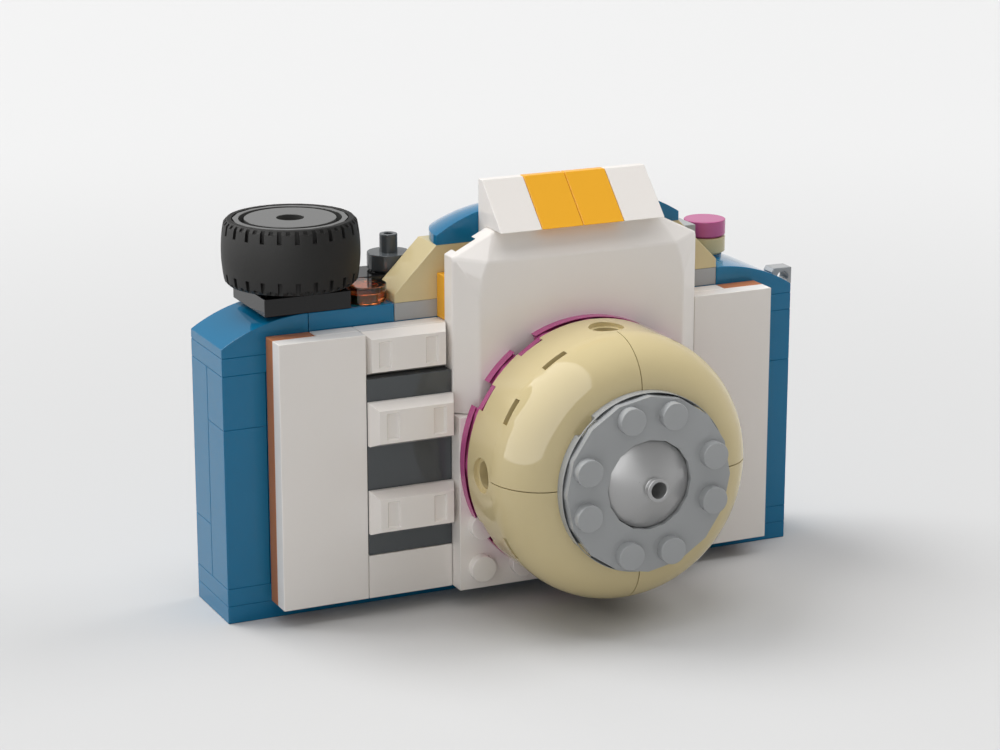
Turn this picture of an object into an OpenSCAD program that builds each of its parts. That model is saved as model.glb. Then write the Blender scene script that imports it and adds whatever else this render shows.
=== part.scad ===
// Toy camera put together from studded bricks, plates, tiles and slopes.
// X runs to the right, Y to the back and Z up; the origin is the middle of the
// base where it rests on the table. Every piece fills its own cells of the grid.

/* [Building grid] */
// Distance between neighbouring studs
pitch = 8; // [7.6:0.1:10]
// Radius of a stud
stud_r = 2.4; // [2.2:0.05:2.55]
// Height of a stud
stud_h = 1.65; // [1.2:0.05:1.7]
// Gap that a piece leaves on each side of its cells
play = 0.05; // [0.02:0.01:0.12]
// Radial clearance between a stud or pin and what holds it
fit = 0.05; // [0.02:0.01:0.1]
// Depth of the hollow that takes studs under a piece
socket_depth = 1.8; // [1.75:0.05:2.2]

/* [Curved slopes] */
// Height of the straight lip at the low end of a curved slope
lip_h = 1.6; // [1:0.1:2.4]
// Height of the straight lip of the steep roof slopes
roof_lip_h = 1.6; // [1:0.1:2.4]

/* [Grip bars] */
// Height of the straight foot of a grip bar
bar_foot_h = 0.8; // [0.5:0.1:1.5]
// How far the sides of a bar lean in from foot to top
bar_lean = 1; // [0.6:0.1:1.6]
// Width of a recess in the top of a bar
recess_w = 2.36; // [1.6:0.02:2.8]
// Length of a recess
recess_l = 4.8; // [3:0.1:5.2]
// Depth of a recess
recess_depth = 0.25; // [0.15:0.05:0.8]
// Distance from the middle of the bar to the middle of a recess
recess_from_mid = 4.4; // [3:0.1:5]

/* [Hood] */
// Thickness of the hood at its rim
hood_rim_t = 3.4; // [2.6:0.1:4.4]
// Width of the slanted band down each side
hood_side_band = 4; // [3:0.1:6]
// Height of the slanted band along the top
hood_top_band = 4.8; // [3.6:0.1:7]
// Wall at the sides of the hollow behind the hood
hood_side_wall = 1.45; // [1:0.05:1.5]
// Wall above the hollow
hood_top_wall = 1.05; // [0.8:0.05:1.5]
// Depth of the hollow near the rim
hood_hollow = 1.75; // [1.72:0.01:2.2]
// Thickness of the hood's raised face
hood_wall = 1.5; // [1.2:0.1:2.2]

/* [Lens] */
// Height of the round skirt of a sixteen-sided plate
skirt_h = 1.8; // [1.75:0.05:2.4]
// How far the corners of the sixteen-sided top stay inside the skirt
facet_inset = 0.2; // [0.15:0.05:0.5]
// Height of the half-round gaps at the edge of barrel, domes and front plate
gap_h = 1.45; // [1:0.05:1.7]
// Radius of a pin hole in the barrel
pin_hole_r = 2.4; // [2:0.05:2.6]
// Radius of the counterbore round a pin hole
counterbore_r = 3.1; // [2.8:0.05:3.5]
// Depth of the counterbore
counterbore_h = 0.9; // [0.6:0.1:1.2]
// Length of a pin hole with its counterbore
pin_hole_l = 8; // [6:0.5:9]
// Thickness of the curved wall of barrel and domes
shell_wall = 1.4; // [1.2:0.1:2.2]
// Thickness of the front wall of barrel and domes
face_wall = 1; // [0.9:0.1:1.6]
// Thickness of the ribs inside barrel and domes
rib_w = 1; // [0.8:0.1:1.5]

/* [Lens dish] */
// Radius of the silver dish
dish_r = 7.75; // [6.4:0.05:9]
// Gap between the dish and the flats of the shaped hole round it
dish_gap = 0.1; // [0.05:0.05:0.5]
// Height of the rim of the dish
dish_rim_h = 1; // [0.6:0.1:2]
// Height of the dish where the nozzle starts
dish_h = 5.1; // [4:0.1:6]
// Radius of the nozzle
nozzle_r = 2.15; // [1.9:0.05:3]
// Radius of the hole in the nozzle
nozzle_bore_r = 1.5; // [1:0.05:1.7]
// Length of the nozzle
nozzle_l = 1.6; // [1:0.1:3]
// Depth of the hole in the nozzle
nozzle_bore_depth = 5; // [3:0.1:6]
// Length of the peg behind the dish
peg_l = 4; // [2:0.1:6]

/* [Dial] */
// Largest radius of the tyre
tyre_r = 12.1; // [10:0.05:12.6]
// How far the tread bulges out past the shoulders
tread_rise = 0.65; // [0.3:0.05:1]
// Thickness of the rubber in the middle of the tread
tyre_wall = 1.95; // [1.6:0.05:3]
// Radial gap between the tyre and the corners of the hub
hub_gap = 0.1; // [0.05:0.05:0.3]
// Width of the tyre
tyre_w = 11.4; // [8:0.1:12]
// Height of the tyre above the plate under it
tyre_lift = 0.7; // [0.4:0.1:1]
// Width of the chamfer at the tyre's shoulders
tyre_chamfer = 0.5; // [0.2:0.05:0.8]
// Number of long grooves round a shoulder
groove_count = 24; // [12:1:30]
// Width of a groove
groove_w = 0.75; // [0.5:0.05:1]
// Depth of a groove
groove_depth = 0.4; // [0.2:0.05:0.6]
// Length of a long groove
groove_long = 2.3; // [1:0.1:3]
// Length of a short groove
groove_short = 0.8; // [0.5:0.1:1.5]
// Width of the hub's rim, from its corners to the ring groove
hub_rim_w = 1.19; // [0.8:0.01:1.6]
// Width of the ring groove in the hub's face
hub_groove_w = 0.73; // [0.4:0.01:1.5]
// Depth of the ring groove
hub_groove_depth = 3; // [1:0.1:6]
// Height of the dial's pin
pin_l = 8; // [5:0.1:9]
// Radius of the collar round the foot of the pin
pin_collar_r = 3; // [2.6:0.1:4]
// Height of the collar
pin_collar_h = 0.8; // [0.5:0.1:1.2]
// How far the hub's face lies below the edge of the tyre
hub_sink = 0.05; // [0:0.05:0.5]

/* [Small round pieces] */
// Radius of a round piece on one stud
round_r = 3.9; // [3.6:0.05:3.95]
// Radius of the narrow foot of a round plate
foot_r = 3.3; // [3:0.05:3.4]
// Height of that foot
foot_h = 0.8; // [0.4:0.1:1]
// Radius of the post's tube
post_tube_r = 1.62; // [1.2:0.02:2]
// Radius of the hole in the tube
post_bore_r = 0.8; // [0.5:0.05:1]
// Length of the tube
post_tube_l = 3.3; // [2:0.1:6]
// Depth of the hole in the tube
post_bore_depth = 3; // [1:0.1:4]

/* [Strap lug] */
// Thickness of the lug's eye
lug_t = 3.2; // [2.4:0.1:4]
// How far the eye stands out from the side wall
lug_reach = 3.8; // [3.4:0.1:5]
// Height of the eye above the end plate
lug_rise = 3.15; // [2.8:0.05:4]
// Radius of the strap hole
lug_hole_r = 1.2; // [0.8:0.05:1.3]
// Height of the strap hole above the end plate
lug_hole_up = 1.25; // [1:0.05:1.6]
// Thickness of the pad that backs the eye
lug_pad_t = 1.6; // [1:0.1:2]
// Radius of the lug's peg
lug_peg_r = 1; // [0.6:0.05:1.2]
// Length of the peg
lug_peg_l = 1.2; // [0.8:0.1:1.4]

/* [Hidden] */

// Overrun of every cut past the face that it opens
over = 0.1;
// How far a stud, rib or tube reaches into the wall that carries it
root = 0.4;
$fn = 64;

// Five plates stand as tall as two studs are apart
plate_h = pitch * 2 / 5;
body_cols = 14;
body_rows = 2;
brick_plate_rows = 3;
lens_cols = 6;

// Wall that leaves a stud its clearance, and the tubes and pins between studs
wall = pitch / 2 - stud_r - fit - play;
socket_r = stud_r + fit;
tube_r = pitch / sqrt(2) - stud_r - fit;
between_r = pitch / 2 - stud_r - fit;
// Height of a sideways stud above the underside of its brick
side_stud_up = plate_h * 7 / 4;

// Rows of plates, counted from the table, that lie under each course
plate_rows_under_sill = 1;
plate_rows_under_wall = 2;
plate_rows_under_lower_bricks = 3;
plate_rows_under_upper_bricks = 8;
plate_rows_under_top_bricks = 13;
plate_rows_under_ends = 14;
plate_rows_under_deck = 16;
plate_rows_under_roof = 17;
plate_rows_under_crown = 20;
plate_rows_under_crown_top = 21;

azure = [0.17, 0.42, 0.56];
warm_white = [0.93, 0.92, 0.88];
tan_sand = [0.87, 0.81, 0.63];
bright_orange = [0.93, 0.69, 0.24];
nougat = [0.67, 0.43, 0.33];
rose = [0.80, 0.52, 0.70];
light_grey = [0.60, 0.61, 0.62];
dark_grey = [0.33, 0.34, 0.35];
soot = [0.12, 0.12, 0.12];
clear_orange = [0.95, 0.45, 0.15, 0.6];
silver = [0.72, 0.73, 0.74];

// Puts a piece at a column, a row and a level of the body
module at(col, row, level)
    translate([(col - body_cols / 2) * pitch, (row - body_rows / 2) * pitch, level * plate_h])
        children();

// Puts a piece on the front wall: column, stud row above the sill, and layer.
// The piece is built lying down, its top becomes its front.
module on_front(col, up, layer)
    translate([
        (col - body_cols / 2) * pitch,
        -body_rows / 2 * pitch - layer * plate_h,
        plate_rows_under_sill * plate_h + up * pitch
    ])
        rotate([90, 0, 0]) children();

// Puts a piece on the axis of the lens, in a layer counted from the front wall
module on_lens(layer) on_front(cols_before_lens, rows_below_lens, layer) children();
cols_before_lens = 8;
rows_below_lens = 3;

// Extrudes an outline given in X and Z towards the back
module along_y(length) translate([0, length, 0]) rotate([90, 0, 0]) linear_extrude(length) children();

// Extrudes an outline given in Y and Z to the right
module along_x(length) rotate([90, 0, 90]) linear_extrude(length) children();

module stud() translate([0, 0, -root]) cylinder(r = stud_r, h = stud_h + root);

module socket(depth = socket_depth) translate([0, 0, -over]) cylinder(r = socket_r, h = depth + over);

module stud_grid(cols, rows)
    for (col = [0:cols - 1], row = [0:rows - 1])
        translate([(col + 0.5) * pitch, (row + 0.5) * pitch, 0]) children();

// Hollow under a piece: an open tray with tubes between the studs of a wide
// piece, or solid pins between those of a piece one stud wide
module underside(cols, rows, depth = socket_depth) {
    long_side = max(cols, rows);
    difference() {
        translate([play + wall, play + wall, -over])
            cube([cols * pitch - 2 * (play + wall), rows * pitch - 2 * (play + wall), depth + over]);
        if (cols > 1 && rows > 1)
            for (col = [1:cols - 1], row = [1:rows - 1])
                translate([col * pitch, row * pitch, 0]) tube_ring(depth);
        else if (long_side > 1)
            for (n = [1:long_side - 1])
                translate([(cols > 1 ? n : 0.5) * pitch, (rows > 1 ? n : 0.5) * pitch, -2 * over])
                    cylinder(r = between_r, h = depth + 3 * over);
    }
}

module tube_ring(depth) translate([0, 0, -2 * over]) difference() {
    cylinder(r = tube_r, h = depth + 3 * over);
    translate([0, 0, -over]) cylinder(r = socket_r, h = depth + 5 * over);
}

module block(cols, rows, height)
    translate([play, play, 0]) cube([cols * pitch - 2 * play, rows * pitch - 2 * play, height]);

// A plate, brick or tile that fills whole cells
module brick(cols, rows, plates, studded = true) difference() {
    union() {
        block(cols, rows, plates * plate_h);
        if (studded) translate([0, 0, plates * plate_h]) stud_grid(cols, rows) stud();
    }
    underside(cols, rows);
}

// A brick one stud deep with a second row of studs that point forward
module side_stud_brick(cols) {
    brick(cols, 1, brick_plate_rows);
    for (col = [0:cols - 1])
        translate([(col + 0.5) * pitch, play + root, side_stud_up])
            rotate([90, 0, 0]) cylinder(r = stud_r, h = stud_h + root + play);
}

// Body: base, sill, corner columns and the core that the front hangs on

module base_plate() color(azure) at(0, 0, 0) brick(body_cols, body_rows, 1);

module sill_plate() color(azure) at(0, 0, plate_rows_under_sill) brick(body_cols, body_rows, 1);

// The tall corner posts stand on the sill in front and on a brick at the back
tall_plate_rows = plate_rows_under_ends - plate_rows_under_wall - brick_plate_rows;

module corner_posts() color(azure)
    for (col = [0, body_cols - 1]) {
        at(col, 0, plate_rows_under_wall) brick(1, 1, tall_plate_rows);
        at(col, 1, plate_rows_under_wall + brick_plate_rows) brick(1, 1, tall_plate_rows);
    }

module corner_bricks() color(azure)
    for (col = [0, body_cols - 1]) {
        at(col, 0, plate_rows_under_wall + tall_plate_rows) brick(1, 1, brick_plate_rows);
        at(col, 1, plate_rows_under_wall) brick(1, 1, brick_plate_rows);
    }

core_cols = body_cols - 2;

module core_plates() color(azure)
    for (level = [
        plate_rows_under_wall,
        plate_rows_under_lower_bricks + brick_plate_rows,
        plate_rows_under_upper_bricks + brick_plate_rows
    ])
        at(1, 0, level) brick(core_cols, body_rows, 1);

module core_plates_upper() color(azure)
    for (level = [plate_rows_under_upper_bricks - 1, plate_rows_under_top_bricks - 1])
        at(1, 0, level) brick(core_cols, body_rows, 1);

long_cols = 4;
short_cols = 2;

module side_stud_bricks() color(azure) {
    for (
        level = [plate_rows_under_lower_bricks, plate_rows_under_upper_bricks],
        n = [0:core_cols / long_cols - 1]
    )
        at(1 + n * long_cols, 0, level) side_stud_brick(long_cols);
    for (col = [2, 2 + long_cols + short_cols])
        at(col, 0, plate_rows_under_top_bricks) side_stud_brick(long_cols);
}

// One short brick closes the top course, one stands in the crown
module short_side_stud_bricks() color(azure) {
    at(2 + long_cols, 0, plate_rows_under_top_bricks) side_stud_brick(short_cols);
    at(cols_before_crown, 0, plate_rows_under_roof + 1) side_stud_brick(short_cols);
}

module back_bricks() color(azure)
    for (level = [plate_rows_under_lower_bricks, plate_rows_under_upper_bricks])
        at(1, 1, level) brick(core_cols, 1, brick_plate_rows);

module back_brick_top() color(azure)
    at(2, 1, plate_rows_under_top_bricks) brick(body_cols - 4, 1, brick_plate_rows);

// Two plates level the top course with the corners, two raise the crown
module small_spacers() color(azure) {
    for (col = [1, body_cols - 2]) at(col, 0, plate_rows_under_top_bricks) brick(1, body_rows, 1);
    at(cols_before_crown, 0, plate_rows_under_roof) brick(short_cols, 1, 1);
    at(cols_before_crown, 1, plate_rows_under_crown) brick(short_cols, 1, 1);
}

end_cols = 2;

module end_plates() color(azure) {
    at(0, 0, plate_rows_under_ends) brick(end_cols, body_rows, 1);
    difference() {
        at(body_cols - end_cols, 0, plate_rows_under_ends) brick(end_cols, body_rows, 1);
        on_side() lug_peg(fit);
    }
}

// Curved slope: a lip, then an arc that ends level at the high side.
// The outline has its high side at zero and falls towards plus X.
slope_plate_rows = 2;
slope_h = slope_plate_rows * plate_h;
slope_l = end_cols * pitch;
slope_rise = slope_h - lip_h;
slope_r = (slope_l * slope_l + slope_rise * slope_rise) / (2 * slope_rise);

module slope_outline(length) intersection() {
    square([length, slope_h]);
    union() {
        square([length, lip_h]);
        translate([0, slope_h - slope_r]) circle(r = slope_r, $fn = 256);
    }
}

module curved_slope() difference() {
    translate([play, play, 0])
        along_y(body_rows * pitch - 2 * play) slope_outline(slope_l - 2 * play);
    underside(end_cols, body_rows);
}

module end_slope_left() color(azure)
    at(end_cols, 0, plate_rows_under_ends + 1) mirror([1, 0, 0]) curved_slope();

// The right slope carries a round seat and a stud for the knob
module end_slope_right() color(azure) {
    at(body_cols - end_cols, 0, plate_rows_under_ends + 1) curved_slope();
    at(cols_before_knob, rows_before_knob, plate_rows_under_roof) {
        translate([0, 0, -seat_h]) cylinder(r = foot_r, h = seat_h);
        stud();
    }
}
cols_before_knob = body_cols - end_cols + 0.5;
rows_before_knob = 1.5;
// The seat starts inside the slope, below the lowest point of its edge
seat_h = plate_h / 2;

module shoulder_plate() color(azure) at(2, 0, plate_rows_under_deck) brick(2, body_rows, 1);

module top_plate() color(light_grey) at(4, 0, plate_rows_under_deck) brick(8, body_rows, 1);

// Front wall, first layer

front_rows = 6;

module trim_plates() color(nougat)
    for (col = [1, body_cols - 2]) on_front(col, 0, 0) brick(1, front_rows, 1);

module backing_strips() color(warm_white)
    for (col = [2, body_cols - 3]) on_front(col, 0, 0) brick(1, front_rows, 1);

module backing_plate_wide() color(warm_white) on_front(cols_before_bars, 0, 0) brick(2, front_rows, 1);

module centre_backing_plate() color(warm_white)
    on_front(cols_before_centre, 0, 0) brick(lens_cols, front_rows, 1);

cols_before_bars = 3;
cols_before_centre = 5;

// Front wall, second layer

module panel_tile_left() color(warm_white) on_front(1, 0, 1) brick(2, front_rows, 1, studded = false);

module panel_tile_right() color(warm_white)
    on_front(body_cols - 3, 0, 1) brick(2, front_rows, 1, studded = false);

module foot_tile() color(warm_white) on_front(cols_before_bars, 0, 1) brick(2, 1, 1, studded = false);

jumper_rows = 4;

// Each half of the jumper plate has one stud in the middle of its four cells
module jumper_plate() color(dark_grey) on_front(cols_before_bars, 1, 1) {
    brick(2, jumper_rows, 1, studded = false);
    for (row = [1, 3]) translate([pitch, row * pitch, plate_h]) stud();
}

lens_plate_rows = 4;

module centre_mid_plate() color(warm_white)
    on_front(cols_before_centre, 0, 1) brick(lens_cols, lens_plate_rows, 1);

module studded_plate() color(warm_white)
    on_front(cols_before_centre, 0, 2) brick(lens_cols, lens_plate_rows, 1);

// Grip bars: a low block whose four sides lean in, with two shallow recesses.
// The block is where two trapezoid bars cross.
module grip_bar() difference() {
    intersection() {
        translate([0, play, 0]) along_y(pitch - 2 * play) bar_outline(2 * pitch);
        translate([play, 0, 0]) along_x(2 * pitch - 2 * play) bar_outline(pitch);
    }
    for (side = [-1, 1])
        translate([pitch + side * recess_from_mid, pitch / 2, plate_h])
            cube([recess_w, recess_l, 2 * recess_depth], center = true);
    children();
}

module bar_outline(width) polygon([
    [play, 0],
    [width - play, 0],
    [width - play, bar_foot_h],
    [width - play - bar_lean, plate_h],
    [play + bar_lean, plate_h],
    [play, bar_foot_h]
]);

module grip_bar_top() color(warm_white) on_front(cols_before_bars, 5, 1) grip_bar() underside(2, 1);

module jumper_bar() grip_bar() translate([pitch, pitch / 2, 0]) socket();

module grip_bar_middle() color(warm_white) on_front(cols_before_bars, 3.5, 2) jumper_bar();

module grip_bar_bottom() color(warm_white) on_front(cols_before_bars, 1.5, 2) jumper_bar();

// Hood above the lens: a plate with cut corners and a raised face with slanted
// bands, hollow behind, where the studs of four rows plug in
rows_below_hood = 4;
hood_rows = 4;
hood_w = lens_cols * pitch;
hood_h = hood_rows * pitch;
hood_t = 2 * plate_h;
// Corner of the raised face: in from the side and down from the top, in pitches
face_corner_shares = [[0, 0.8], [0.075, 0.34], [0.21, 0]];

module hood_outline() polygon([
    [play, play],
    [hood_w - play, play],
    [hood_w - play, hood_h - pitch / 2],
    [hood_w - pitch, hood_h - play],
    [pitch, hood_h - play],
    [play, hood_h - pitch / 2]
]);

module hood_face() {
    half = [for (p = face_corner_shares)
        [hood_side_band + p[0] * pitch, hood_h - hood_top_band - p[1] * pitch]];
    polygon(concat(
        [[hood_w - hood_side_band, play], [hood_side_band, play]],
        half,
        [for (n = [len(half) - 1:-1:0]) [hood_w - half[n][0], half[n][1]]]
    ));
}

module hood() color(warm_white) on_front(cols_before_centre, rows_below_hood, 1) difference() {
    hull() {
        linear_extrude(hood_rim_t) hood_outline();
        linear_extrude(hood_t) hood_face();
    }
    hood_hollow_space();
}

// Shallow out to the rim, and deeper behind the raised face
module hood_hollow_space() difference() {
    union() {
        translate([play + hood_side_wall, play + wall, -over])
            cube([
                hood_w - 2 * (play + hood_side_wall),
                hood_h - 2 * play - wall - hood_top_wall,
                hood_hollow + over
            ]);
        translate([hood_side_band, play + wall, -over])
            cube([
                hood_w - 2 * hood_side_band,
                hood_h - hood_top_band - play - wall,
                hood_t - hood_wall + over
            ]);
    }
    for (col = [1:lens_cols - 1], row = [1:hood_rows - 1])
        translate([col * pitch, row * pitch, 0]) tube_ring(hood_t - hood_wall);
}

module orange_plate() color(bright_orange) on_front(cols_before_centre, front_rows, 0) brick(lens_cols, 1, 1);

// Four wedge caps: a foot one stud square on the front wall and a wedge that
// leans over the top of the hood
rows_below_caps = 7;
wedge_flat = plate_h / 2;

module wedge_cap() difference() {
    union() {
        along_x(pitch - 2 * play) wedge_outline();
        translate([pitch / 2 - play, pitch / 2, plate_h]) stud();
    }
    translate([pitch / 2 - play, pitch / 2, 0]) socket();
}

// Outline in height and depth: the first number runs up the front wall
module wedge_outline() polygon([
    [play, 0],
    [play, plate_h],
    [pitch, plate_h],
    [pitch, 3 * plate_h],
    [2 * pitch, wedge_flat],
    [2 * pitch, 0]
]);

module cap_at(col) on_front(col, rows_below_caps, 0) translate([play, 0, 0]) wedge_cap();

module cap_left() color(warm_white) cap_at(cols_before_centre + 1);

module cap_mid_left() color(bright_orange) cap_at(cols_before_centre + 2);

module cap_mid_right() color(bright_orange) cap_at(cols_before_centre + 3);

module cap_right() color(warm_white) cap_at(cols_before_centre + 4);

// Lens, built on its own axis with the front upwards

lens_r = lens_cols / 2 * pitch;
side_count = 16;

function corners(r) = [
    for (n = [0:side_count - 1]) let (a = n * 360 / side_count) r * [cos(a), sin(a)]
];

// Stud places of the lens, as half pitches from its axis
inner_places = [for (x = [-3:2:3], y = [-3:2:3]) [x, y]];
rim_places = [for (x = [-5:2:5], y = [-5:2:5]) if (abs(x) + abs(y) == 8) [x, y]];
face_places = [for (p = inner_places) if (abs(p[0]) + abs(p[1]) == 4) p];

module at_places(places)
    for (p = places) translate([p[0] * pitch / 2, p[1] * pitch / 2, 0]) children();

// Round plate with a skirt below and a sixteen-sided top just inside it
module many_sided_plate(r) {
    cylinder(r = r - play, h = skirt_h, $fn = 128);
    linear_extrude(plate_h) polygon(corners(r - play - facet_inset));
}

// The hollow of the mount plate clears the outermost studs that plug into it
mount_hollow_r = pitch / 2 * norm([lens_cols - 1, 1]) + socket_r;

// Grid corners inside the round plate, where its tubes stand
tube_places = [for (x = [-4:2:4], y = [-4:2:4]) if (abs(x) + abs(y) < 8) [x, y]];

module lens_mount_plate() color(rose) on_lens(3) difference() {
    union() {
        many_sided_plate(lens_r);
        translate([0, 0, plate_h]) at_places(inner_places) stud();
    }
    difference() {
        union() {
            translate([0, 0, -over]) cylinder(r = mount_hollow_r, h = skirt_h + over, $fn = 128);
            at_places(rim_places) socket(skirt_h + play);
        }
        at_places(tube_places) tube_ring(skirt_h);
    }
}

barrel_h = brick_plate_rows * plate_h;

// Barrel: a drum open at the back, with tubes for the studs behind it, four
// pin holes in bosses and ribs that join the bosses to the tubes
module lens_barrel() color(tan_sand) on_lens(4) difference() {
    union() {
        difference() {
            cylinder(r = lens_r - play, h = barrel_h, $fn = 128);
            translate([0, 0, -over])
                cylinder(r = lens_r - shell_wall, h = barrel_h - face_wall + over, $fn = 128);
        }
        intersection() {
            cylinder(r = lens_r - shell_wall / 2, h = barrel_h - face_wall / 2, $fn = 128);
            barrel_inside();
        }
        translate([0, 0, barrel_h]) at_places(face_places) stud();
    }
    at_places(rim_places) socket(gap_h);
    for (quarter = [0:3]) rotate(quarter * 90) pin_hole();
    at_places([for (x = [-2:2:2], y = [-2:2:2]) [x, y]])
        translate([0, 0, -over]) cylinder(r = socket_r, h = barrel_h - face_wall + over);
}

module barrel_inside() {
    at_places([for (x = [-2:2:2], y = [-2:2:2]) [x, y]]) cylinder(r = tube_r, h = barrel_h);
    for (quarter = [0:3]) rotate(quarter * 90) {
        translate([lens_r - pin_hole_l, -boss_w / 2, rib_foot])
            cube([pin_hole_l, boss_w, barrel_h - rib_foot]);
        rotate(360 / 8) translate([pitch * sqrt(2), -rib_w / 2, rib_foot])
            cube([lens_r - pitch * sqrt(2), rib_w, barrel_h - rib_foot]);
        translate([pitch, -rib_w / 2, rib_foot])
            cube([lens_r - pitch, rib_w, barrel_h - rib_foot]);
        translate([-pitch, pitch - rib_w / 2, rib_foot])
            cube([2 * pitch, rib_w, barrel_h - rib_foot]);
        translate([0, -rib_w / 2, rib_foot])
            cube([pitch, rib_w, barrel_h - rib_foot]);
    }
}

boss_w = 2 * (counterbore_r + rib_w / 2);
// Ribs start above the studs that plug in from behind
rib_foot = socket_depth;

module pin_hole() translate([lens_r, 0, side_stud_up]) rotate([0, -90, 0]) {
    translate([0, 0, -over]) cylinder(r = pin_hole_r, h = pin_hole_l + 2 * over);
    translate([0, 0, -over]) cylinder(r = counterbore_r, h = counterbore_h + over);
}

// Domes: quarters of a disc whose edge is a quarter of an ellipse
dome_h = brick_plate_rows * plate_h;
dome_edge = pitch;
dome_step_count = 16;

function ellipse_edge(r, edge, h) = concat(
    [[0, 0]],
    [for (n = [0:dome_step_count]) let (a = 90 * n / dome_step_count) [r - edge + edge * cos(a), h * sin(a)]],
    [[0, h]]
);

module dome_outline(inset) polygon(
    ellipse_edge(lens_r - play - inset, dome_edge - inset / 2, dome_h - inset * face_wall / shell_wall)
);

module lens_dome() difference() {
    union() {
        translate([play, play, 0]) rotate_extrude(angle = 90, $fn = 128) dome_outline(2 * play);
        translate([0, 0, dome_h]) at_places([[1, 3], [3, 1]]) stud();
    }
    difference() {
        intersection() {
            rotate_extrude($fn = 128) dome_outline(shell_wall);
            translate([face_wall, face_wall, -over]) cube(lens_r);
        }
        translate([pitch, pitch, 0]) cylinder(r = tube_r, h = dome_h);
        translate([pitch - rib_w / 2, 0, rib_foot]) cube([rib_w, lens_r, dome_h]);
        translate([0, pitch - rib_w / 2, rib_foot]) cube([lens_r, rib_w, dome_h]);
        cylinder(r = socket_r + face_wall, h = dome_h);
    }
    translate([pitch, pitch, -over]) cylinder(r = socket_r, h = dome_h - face_wall + over);
    translate([0, 0, -over]) cylinder(r = socket_r, h = dome_h + 2 * over);
    at_places([[3, 5], [5, 3]]) socket(gap_h);
}

module lens_dome_a() color(tan_sand) on_lens(7) lens_dome();

module lens_dome_b() color(tan_sand) on_lens(7) rotate(90) lens_dome();

module lens_dome_c() color(tan_sand) on_lens(7) rotate(180) lens_dome();

module lens_dome_d() color(tan_sand) on_lens(7) rotate(270) lens_dome();

front_r = lens_r - dome_edge;
// The shaped hole in the front plate, measured to its corners
eye_r = (dish_r + dish_gap) / cos(180 / side_count);

module lens_front_plate() color(light_grey) on_lens(10) difference() {
    union() {
        many_sided_plate(front_r);
        translate([0, 0, plate_h]) at_places(face_places) stud();
    }
    translate([0, 0, -over]) linear_extrude(plate_h + 2 * over) polygon(corners(eye_r));
    at_places(face_places) socket();
    at_places([for (x = [-3, 3], y = [-3, 3]) [x, y]]) socket(gap_h);
}

// Dish: a round cap on a peg, with a hollow nozzle in the middle.
// One sphere passes through the rim and the foot of the nozzle.
peg_r = socket_r - fit;
dish_mid = (dish_h * dish_h + nozzle_r * nozzle_r - dish_rim_h * dish_rim_h - dish_r * dish_r)
    / (2 * (dish_h - dish_rim_h));
dish_sphere_r = sqrt(dish_r * dish_r + pow(dish_rim_h - dish_mid, 2));

module lens_dish() color(silver) on_lens(10) difference() {
    union() {
        translate([0, 0, -peg_l]) cylinder(r = peg_r, h = peg_l + dish_rim_h);
        cylinder(r = dish_r, h = dish_rim_h, $fn = 128);
        cylinder(r = nozzle_r, h = dish_h + nozzle_l);
        rotate_extrude($fn = 128) intersection() {
            square([dish_r, dish_h]);
            translate([0, dish_mid]) circle(r = dish_sphere_r, $fn = 128);
        }
    }
    translate([0, 0, dish_h + nozzle_l - nozzle_bore_depth])
        cylinder(r = nozzle_bore_r, h = nozzle_bore_depth + over);
}

// Roof and crown

cols_before_crown = 7;
roof_h = brick_plate_rows * plate_h;

// Steep slope two studs long: lip, straight slope, and a flat end with a stud
module roof_slope() difference() {
    union() {
        translate([0, play, 0]) along_y(pitch - 2 * play) polygon([
            [play, 0],
            [2 * pitch - play, 0],
            [2 * pitch - play, roof_h],
            [pitch, roof_h],
            [play, roof_lip_h]
        ]);
        translate([1.5 * pitch, pitch / 2, roof_h]) stud();
    }
    translate([pitch / 2, pitch / 2, 0]) socket();
    translate([1.5 * pitch, pitch / 2, 0]) socket();
}

module roof_slope_left() color(tan_sand) at(cols_before_crown - 3, 0, plate_rows_under_roof) roof_slope();

module roof_slope_right() color(tan_sand)
    at(cols_before_crown + short_cols + 3, 0, plate_rows_under_roof) mirror([1, 0, 0]) roof_slope();

// Quarter of a round dome with the outline of the curved slopes, its corner
// at the inner front edge
module quarter_dome() difference() {
    intersection() {
        rotate_extrude($fn = 128) slope_outline(slope_l - play);
        translate([play, play, -over]) cube(slope_l);
    }
    at_places([[1, 1], [3, 1], [1, 3]]) socket();
}

module crown_dome_right() color(azure)
    at(cols_before_crown + short_cols, 0, plate_rows_under_crown) quarter_dome();

module crown_dome_left() color(azure)
    at(cols_before_crown, 0, plate_rows_under_crown) mirror([1, 0, 0]) quarter_dome();

module crown_back_brick() color(azure)
    at(cols_before_crown - 1, 1, plate_rows_under_roof) brick(long_cols, 1, brick_plate_rows);

module crown_fill_bricks() color(azure)
    for (col = [cols_before_crown - 1, cols_before_crown + short_cols])
        at(col, 0, plate_rows_under_roof) brick(1, 1, brick_plate_rows);

module crown_tile() color(azure)
    at(cols_before_crown, 0, plate_rows_under_crown_top) brick(short_cols, body_rows, 1, studded = false);

// Dial: a plate with an upright pin, a hub that turns on it and a tyre

hub_bore_r = stud_r;
pin_r = hub_bore_r - fit;
tyre_shoulder_r = tyre_r - tread_rise;
tyre_bore_r = tyre_r - tyre_wall;
hub_rim_r = tyre_bore_r - hub_gap;
hub_groove_r = hub_rim_r - hub_rim_w;
hub_disc_r = hub_groove_r - hub_groove_w;
hub_h = tyre_lift + tyre_w - pin_collar_h - hub_sink;

module dial_base() color(soot) at(1, 0, plate_rows_under_roof) {
    brick(2, body_rows, 1, studded = false);
    translate([pitch, pitch, plate_h - root]) {
        cylinder(r = pin_collar_r, h = pin_collar_h + root);
        cylinder(r = pin_r, h = pin_l + root);
    }
}

module on_dial(up) at(2, 1, plate_rows_under_roof + 1) translate([0, 0, up]) children();

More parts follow.
